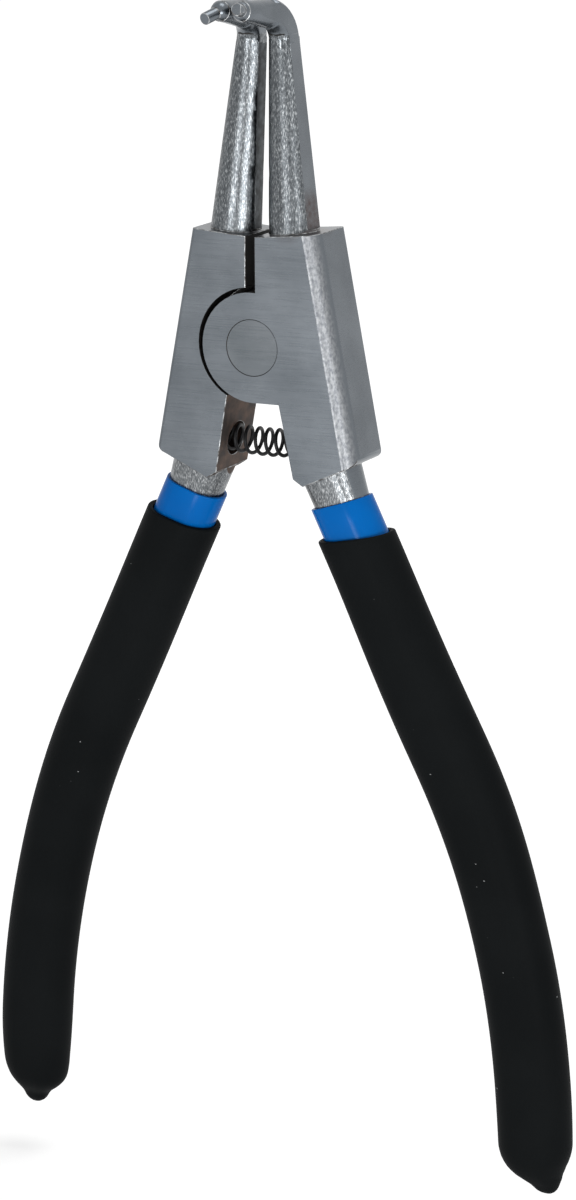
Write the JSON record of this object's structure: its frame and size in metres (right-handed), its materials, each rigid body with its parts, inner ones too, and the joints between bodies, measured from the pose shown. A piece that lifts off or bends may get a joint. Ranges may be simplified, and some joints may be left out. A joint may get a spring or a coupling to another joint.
{
  "type": "circlip pliers",
  "caption": "Sprung hand pliers with slim bent tips that spread apart as the bowed dipped handles are squeezed, for opening an outside retaining ring on a shaft.",
  "frame": {"origin": "on the pivot axis, at the back face of the head", "axes": "+Z along the tool from the handles toward the tips; +Y out of the head's back face, so the bent tips point to -Y; +X to the right as seen from the front"},
  "size_m": [0.1002, 0.0201, 0.1798],
  "materials": {
    "lever_steel": "ground satin faces, as-forged bright arms and necks",
    "rivet_steel": "ground flush",
    "spring_steel": "blackened wire",
    "sleeve_blue": "glossy dip",
    "grip_black": "matte dip"
  },
  "bodies": {
    "right_half": {"right_lever": "lever_steel", "pivot_rivet": "rivet_steel", "return_spring": "spring_steel", "right_sleeve": "sleeve_blue", "right_grip": "grip_black"},
    "left_half": {"left_lever": "lever_steel", "left_sleeve": "sleeve_blue", "left_grip": "grip_black"}
  },
  "joints": [
    {"name": "lever_pivot", "type": "hinge", "parent": "right_half", "child": "left_half", "pos_m": [0, -0.005, 0], "axis": [0, -1, 0], "range_deg": [0, 30], "stiffness_Nm_per_rad": 0.25, "springref_deg": -20.05, "deforming": ["return_spring"]}
  ]
}
